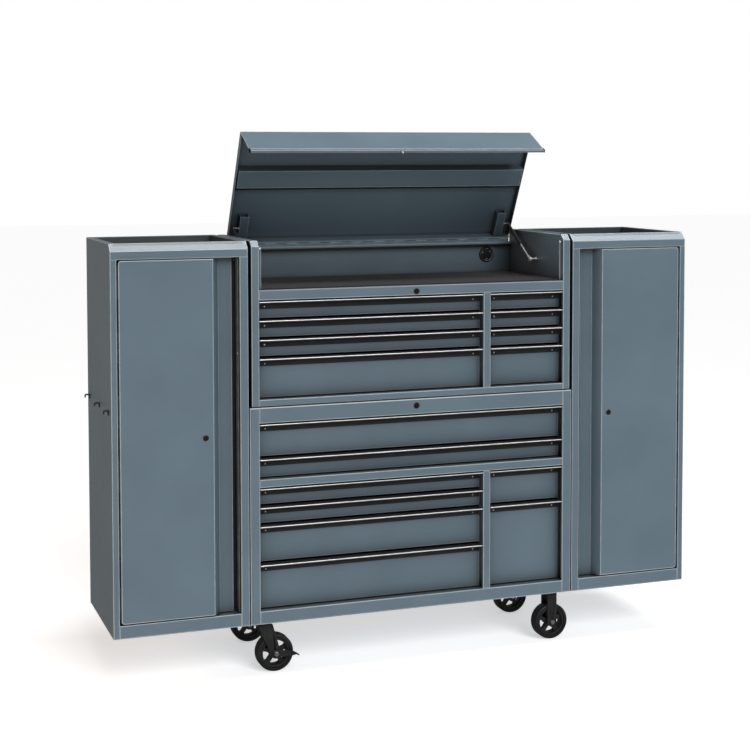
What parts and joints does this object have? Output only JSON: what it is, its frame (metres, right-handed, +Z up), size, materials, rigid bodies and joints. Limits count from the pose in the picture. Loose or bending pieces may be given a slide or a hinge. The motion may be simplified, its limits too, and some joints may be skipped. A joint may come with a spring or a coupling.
{
  "type": "rolling tool chest",
  "caption": "Wide rolling tool cabinet: drawer chest with lift-up gas-strut lid on a roll cab, tall hinged-door lockers on both sides, swivel and rigid casters.",
  "frame": {"origin": "on the floor, under the middle of the cabinets' footprint", "axes": "+Z up; the drawers and doors face -Y; +X to the right as seen from the front"},
  "size_m": [2.534, 0.5522, 2.1807],
  "materials": {
    "cabinet_paint": "satin blue-grey powder coat",
    "front_paint": "satin blue-grey powder coat",
    "lid_paint": "satin blue-grey powder coat",
    "slide_steel": "zinc plated",
    "hinge_steel": "satin steel",
    "fastener_steel": "zinc plated",
    "mat_rubber": "ribbed black mat",
    "black_plastic": "moulded black plastic",
    "black_metal": "black enamel",
    "caster_black": "black enamel",
    "strut_black": "gloss black",
    "strut_chrome": "polished rod",
    "lock_metal": "black with a bright plug",
    "wheel_rubber": "black solid tyre on a moulded hub"
  },
  "bodies": {
    "cabinet": {"roll_cab_shell": "cabinet_paint", "top_chest_shell": "cabinet_paint", "left_locker_shell": "cabinet_paint", "right_locker_shell": "cabinet_paint", "locker_shelves": "cabinet_paint", "chest_mat": "mat_rubber", "cable_grommet": "black_plastic", "joining_bolts": "fastener_steel", "side_hooks": "black_metal", "lock_housings": "lock_metal", "roll_cab_slide_rails": "slide_steel", "top_chest_slide_rails": "slide_steel", "door_hinge_fixed_leaves": "hinge_steel", "lid_hinge_fixed_leaf": "hinge_steel", "strut_lower_studs": "fastener_steel", "caster_plates": "caster_black", "caster_bolts": "fastener_steel", "rigid_forks": "caster_black", "rigid_axle_bolts": "fastener_steel"},
    "lid": {"lid_panel": "lid_paint", "lid_pull": "lid_paint", "lid_stiffener": "lid_paint", "lid_hinge_moving_leaf": "hinge_steel", "lid_strut_brackets": "lid_paint"},
    "left_strut_tube": {"left_strut_cylinder": "strut_black"},
    "right_strut_tube": {"right_strut_cylinder": "strut_black"},
    "left_strut_piston": {"left_strut_rod": "strut_chrome"},
    "right_strut_piston": {"right_strut_rod": "strut_chrome"},
    "roll_cab_wide_drawer_1_body": {"roll_cab_wide_drawer_1": "front_paint"},
    "roll_cab_wide_drawer_2_body": {"roll_cab_wide_drawer_2": "front_paint"},
    "roll_cab_left_drawer_1_body": {"roll_cab_left_drawer_1": "front_paint"},
    "roll_cab_left_drawer_2_body": {"roll_cab_left_drawer_2": "front_paint"},
    "roll_cab_left_drawer_3_body": {"roll_cab_left_drawer_3": "front_paint"},
    "roll_cab_left_drawer_4_body": {"roll_cab_left_drawer_4": "front_paint"},
    "roll_cab_right_drawer_1_body": {"roll_cab_right_drawer_1": "front_paint"},
    "roll_cab_right_drawer_2_body": {"roll_cab_right_drawer_2": "front_paint"},
    "top_chest_left_drawer_1_body": {"top_chest_left_drawer_1": "front_paint"},
    "top_chest_left_drawer_2_body": {"top_chest_left_drawer_2": "front_paint"},
    "top_chest_left_drawer_3_body": {"top_chest_left_drawer_3": "front_paint"},
    "top_chest_left_drawer_4_body": {"top_chest_left_drawer_4": "front_paint"},
    "top_chest_right_drawer_1_body": {"top_chest_right_drawer_1": "front_paint"},
    "top_chest_right_drawer_2_body": {"top_chest_right_drawer_2": "front_paint"},
    "top_chest_right_drawer_3_body": {"top_chest_right_drawer_3": "front_paint"},
    "top_chest_right_drawer_4_body": {"top_chest_right_drawer_4": "front_paint"},
    "left_door_body": {"left_door": "front_paint"},
    "left_door_lock": {"left_door_lock_plug": "lock_metal"},
    "right_door_body": {"right_door": "front_paint"},
    "right_door_lock": {"right_door_lock_plug": "lock_metal"},
    "top_chest_lock": {"top_chest_lock_plug": "lock_metal"},
    "roll_cab_lock": {"roll_cab_lock_plug": "lock_metal"},
    "front_swivel": {"front_swivel_fork": "caster_black", "front_swivel_axle_bolt": "fastener_steel"},
    "front_pedal": {"front_brake_pedal": "caster_black"},
    "front_left_wheel_body": {"front_left_wheel": "wheel_rubber"},
    "front_right_wheel_body": {"front_right_wheel": "wheel_rubber"},
    "rear_swivel": {"rear_swivel_fork": "caster_black", "rear_swivel_axle_bolt": "fastener_steel"},
    "rear_pedal": {"rear_brake_pedal": "caster_black"},
    "rear_left_wheel_body": {"rear_left_wheel": "wheel_rubber"},
    "rear_right_wheel_body": {"rear_right_wheel": "wheel_rubber"}
  },
  "joints": [
    {"name": "lid_hinge", "type": "hinge", "parent": "cabinet", "child": "lid", "pos_m": [0, 0.242, 1.708], "axis": [-1, 0, 0], "range_deg": [-62, 0]},
    {"name": "roll_cab_wide_drawer_1_slide", "type": "slide", "parent": "cabinet", "child": "roll_cab_wide_drawer_1_body", "axis": [0, -1, 0], "range_m": [0, 0.34]},
    {"name": "roll_cab_wide_drawer_2_slide", "type": "slide", "parent": "cabinet", "child": "roll_cab_wide_drawer_2_body", "axis": [0, -1, 0], "range_m": [0, 0.34]},
    {"name": "roll_cab_left_drawer_1_slide", "type": "slide", "parent": "cabinet", "child": "roll_cab_left_drawer_1_body", "axis": [0, -1, 0], "range_m": [0, 0.34]},
    {"name": "roll_cab_left_drawer_2_slide", "type": "slide", "parent": "cabinet", "child": "roll_cab_left_drawer_2_body", "axis": [0, -1, 0], "range_m": [0, 0.34]},
    {"name": "roll_cab_left_drawer_3_slide", "type": "slide", "parent": "cabinet", "child": "roll_cab_left_drawer_3_body", "axis": [0, -1, 0], "range_m": [0, 0.34]},
    {"name": "roll_cab_left_drawer_4_slide", "type": "slide", "parent": "cabinet", "child": "roll_cab_left_drawer_4_body", "axis": [0, -1, 0], "range_m": [0, 0.34]},
    {"name": "roll_cab_right_drawer_1_slide", "type": "slide", "parent": "cabinet", "child": "roll_cab_right_drawer_1_body", "axis": [0, -1, 0], "range_m": [0, 0.34]},
    {"name": "roll_cab_right_drawer_2_slide", "type": "slide", "parent": "cabinet", "child": "roll_cab_right_drawer_2_body", "axis": [0, -1, 0], "range_m": [0, 0.34]},
    {"name": "top_chest_left_drawer_1_slide", "type": "slide", "parent": "cabinet", "child": "top_chest_left_drawer_1_body", "axis": [0, -1, 0], "range_m": [0, 0.34]},
    {"name": "top_chest_left_drawer_2_slide", "type": "slide", "parent": "cabinet", "child": "top_chest_left_drawer_2_body", "axis": [0, -1, 0], "range_m": [0, 0.34]},
    {"name": "top_chest_left_drawer_3_slide", "type": "slide", "parent": "cabinet", "child": "top_chest_left_drawer_3_body", "axis": [0, -1, 0], "range_m": [0, 0.34]},
    {"name": "top_chest_left_drawer_4_slide", "type": "slide", "parent": "cabinet", "child": "top_chest_left_drawer_4_body", "axis": [0, -1, 0], "range_m": [0, 0.34]},
    {"name": "top_chest_right_drawer_1_slide", "type": "slide", "parent": "cabinet", "child": "top_chest_right_drawer_1_body", "axis": [0, -1, 0], "range_m": [0, 0.34]},
    {"name": "top_chest_right_drawer_2_slide", "type": "slide", "parent": "cabinet", "child": "top_chest_right_drawer_2_body", "axis": [0, -1, 0], "range_m": [0, 0.34]},
    {"name": "top_chest_right_drawer_3_slide", "type": "slide", "parent": "cabinet", "child": "top_chest_right_drawer_3_body", "axis": [0, -1, 0], "range_m": [0, 0.34]},
    {"name": "top_chest_right_drawer_4_slide", "type": "slide", "parent": "cabinet", "child": "top_chest_right_drawer_4_body", "axis": [0, -1, 0], "range_m": [0, 0.34]},
    {"name": "left_door_hinge", "type": "hinge", "parent": "cabinet", "child": "left_door_body", "pos_m": [-1.228, -0.2682, 0.975], "axis": [0, 0, -1], "range_deg": [0, 105]},
    {"name": "left_door_lock_turn", "type": "hinge", "parent": "left_door_body", "child": "left_door_lock", "pos_m": [-0.886, -0.271, 0.977], "axis": [0, 1, 0], "range_deg": [0, 90]},
    {"name": "right_door_hinge", "type": "hinge", "parent": "cabinet", "child": "right_door_body", "pos_m": [1.228, -0.2682, 0.975], "axis": [0, 0, 1], "range_deg": [0, 105]},
    {"name": "right_door_lock_turn", "type": "hinge", "parent": "right_door_body", "child": "right_door_lock", "pos_m": [0.886, -0.271, 0.977], "axis": [0, 1, 0], "range_deg": [0, 90]},
    {"name": "top_chest_lock_turn", "type": "hinge", "parent": "cabinet", "child": "top_chest_lock", "pos_m": [0, -0.271, 1.527], "axis": [0, 1, 0], "range_deg": [0, 90]},
    {"name": "roll_cab_lock_turn", "type": "hinge", "parent": "cabinet", "child": "roll_cab_lock", "pos_m": [0, -0.271, 1.056], "axis": [0, 1, 0], "range_deg": [0, 90]},
    {"name": "front_caster_swivel", "type": "hinge", "parent": "cabinet", "child": "front_swivel", "pos_m": [-0.641, -0.201, 0.197], "axis": [0, 0, 1], "continuous": true},
    {"name": "front_left_wheel_spin", "type": "hinge", "parent": "front_swivel", "child": "front_left_wheel_body", "pos_m": [-0.594, -0.201, 0.076], "axis": [0, 1, 0], "continuous": true},
    {"name": "front_right_wheel_spin", "type": "hinge", "parent": "cabinet", "child": "front_right_wheel_body", "pos_m": [0.641, -0.201, 0.076], "axis": [0, 1, 0], "continuous": true},
    {"name": "rear_caster_swivel", "type": "hinge", "parent": "cabinet", "child": "rear_swivel", "pos_m": [-0.641, 0.201, 0.197], "axis": [0, 0, 1], "continuous": true},
    {"name": "rear_left_wheel_spin", "type": "hinge", "parent": "rear_swivel", "child": "rear_left_wheel_body", "pos_m": [-0.594, 0.201, 0.076], "axis": [0, 1, 0], "continuous": true},
    {"name": "rear_right_wheel_spin", "type": "hinge", "parent": "cabinet", "child": "rear_right_wheel_body", "pos_m": [0.641, 0.201, 0.076], "axis": [0, 1, 0], "continuous": true},
    {"name": "front_brake_press", "type": "hinge", "parent": "front_swivel", "child": "front_pedal", "pos_m": [-0.594, -0.201, 0.076], "axis": [0, 1, 0], "range_deg": [0, 18]},
    {"name": "rear_brake_press", "type": "hinge", "parent": "rear_swivel", "child": "rear_pedal", "pos_m": [-0.594, 0.201, 0.076], "axis": [0, 1, 0], "range_deg": [0, 18]},
    {"name": "left_strut_pivot", "type": "hinge", "parent": "cabinet", "child": "left_strut_piston", "pos_m": [-0.638, -0.009, 1.627], "axis": [1, 0, 0], "range_deg": [-6, 1]},
    {"name": "left_strut_stroke", "type": "slide", "parent": "left_strut_piston", "child": "left_strut_tube", "axis": [0, 0.8493, 0.5279], "range_m": [-0.072, 0.001]},
    {"name": "right_strut_pivot", "type": "hinge", "parent": "cabinet", "child": "right_strut_piston", "pos_m": [0.638, -0.009, 1.627], "axis": [1, 0, 0], "range_deg": [-6, 1]},
    {"name": "right_strut_stroke", "type": "slide", "parent": "right_strut_piston", "child": "right_strut_tube", "axis": [0, 0.8493, 0.5279], "range_m": [-0.072, 0.001]}
  ],
  "couplings": [
    {"joint": "left_strut_pivot", "follows": "lid_hinge", "ratio": 0.065795},
    {"joint": "left_strut_stroke", "follows": "lid_hinge", "m_per_rad": 0.061953},
    {"joint": "right_strut_pivot", "follows": "lid_hinge", "ratio": 0.065795},
    {"joint": "right_strut_stroke", "follows": "lid_hinge", "m_per_rad": 0.061953}
  ]
}
